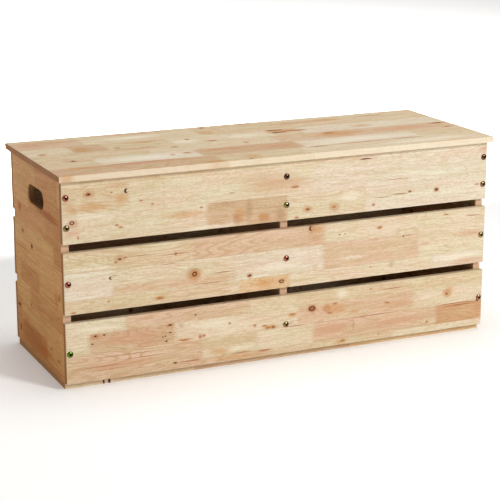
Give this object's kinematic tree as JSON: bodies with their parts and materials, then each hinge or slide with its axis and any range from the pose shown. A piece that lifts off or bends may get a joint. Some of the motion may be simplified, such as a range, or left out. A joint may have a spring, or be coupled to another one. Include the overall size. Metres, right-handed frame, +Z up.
{
  "type": "toy box",
  "caption": "Long slatted wooden toy box on a flat base, with bolted boards front and back, a centre partition, oblong hand holes in its ends and a thin lift-off lid.",
  "frame": {"origin": "middle of the underside of the box, on the surface it stands on", "axes": "+X along the length to the right seen from the front, -Y towards the front, +Z up"},
  "size_m": [0.914, 0.344, 0.41],
  "materials": {
    "slat_wood": "clear satin varnish over finger-jointed rubberwood",
    "panel_wood": "clear satin varnish over finger-jointed rubberwood",
    "bottom_wood": "clear satin varnish over finger-jointed rubberwood",
    "lid_wood": "clear satin varnish over finger-jointed rubberwood",
    "cleat_wood": "clear satin varnish over finger-jointed rubberwood",
    "dowel_wood": "plain unfinished hardwood",
    "gold_zinc_steel": "gold chromated zinc",
    "zinc_steel": "clear zinc plating",
    "screw_steel": "clear zinc plating"
  },
  "bodies": {
    "box": {"bottom_board": "bottom_wood", "left_end_panel": "panel_wood", "right_end_panel": "panel_wood", "centre_partition": "panel_wood", "front_bottom_slat": "slat_wood", "front_middle_slat": "slat_wood", "front_top_slat": "slat_wood", "back_bottom_slat": "slat_wood", "back_middle_slat": "slat_wood", "back_top_slat": "slat_wood", "front_bottom_bolts": "gold_zinc_steel", "front_middle_bolts": "gold_zinc_steel", "front_top_bolts": "gold_zinc_steel", "back_bottom_bolts": "gold_zinc_steel", "back_middle_bolts": "gold_zinc_steel", "back_top_bolts": "gold_zinc_steel", "left_barrel_nuts": "zinc_steel", "centre_barrel_nuts": "zinc_steel", "right_barrel_nuts": "zinc_steel", "left_base_screws": "screw_steel", "centre_base_screws": "screw_steel", "right_base_screws": "screw_steel", "left_base_dowels": "dowel_wood", "centre_base_dowels": "dowel_wood", "right_base_dowels": "dowel_wood"},
    "lid": {"lid_board": "lid_wood", "left_lid_cleat": "cleat_wood", "right_lid_cleat": "cleat_wood", "left_cleat_screws": "screw_steel", "right_cleat_screws": "screw_steel"}
  },
  "joints": [
    {"name": "lid_lift", "type": "slide", "parent": "box", "child": "lid", "axis": [0, 0, 1], "range_m": [0, 0.3]}
  ]
}
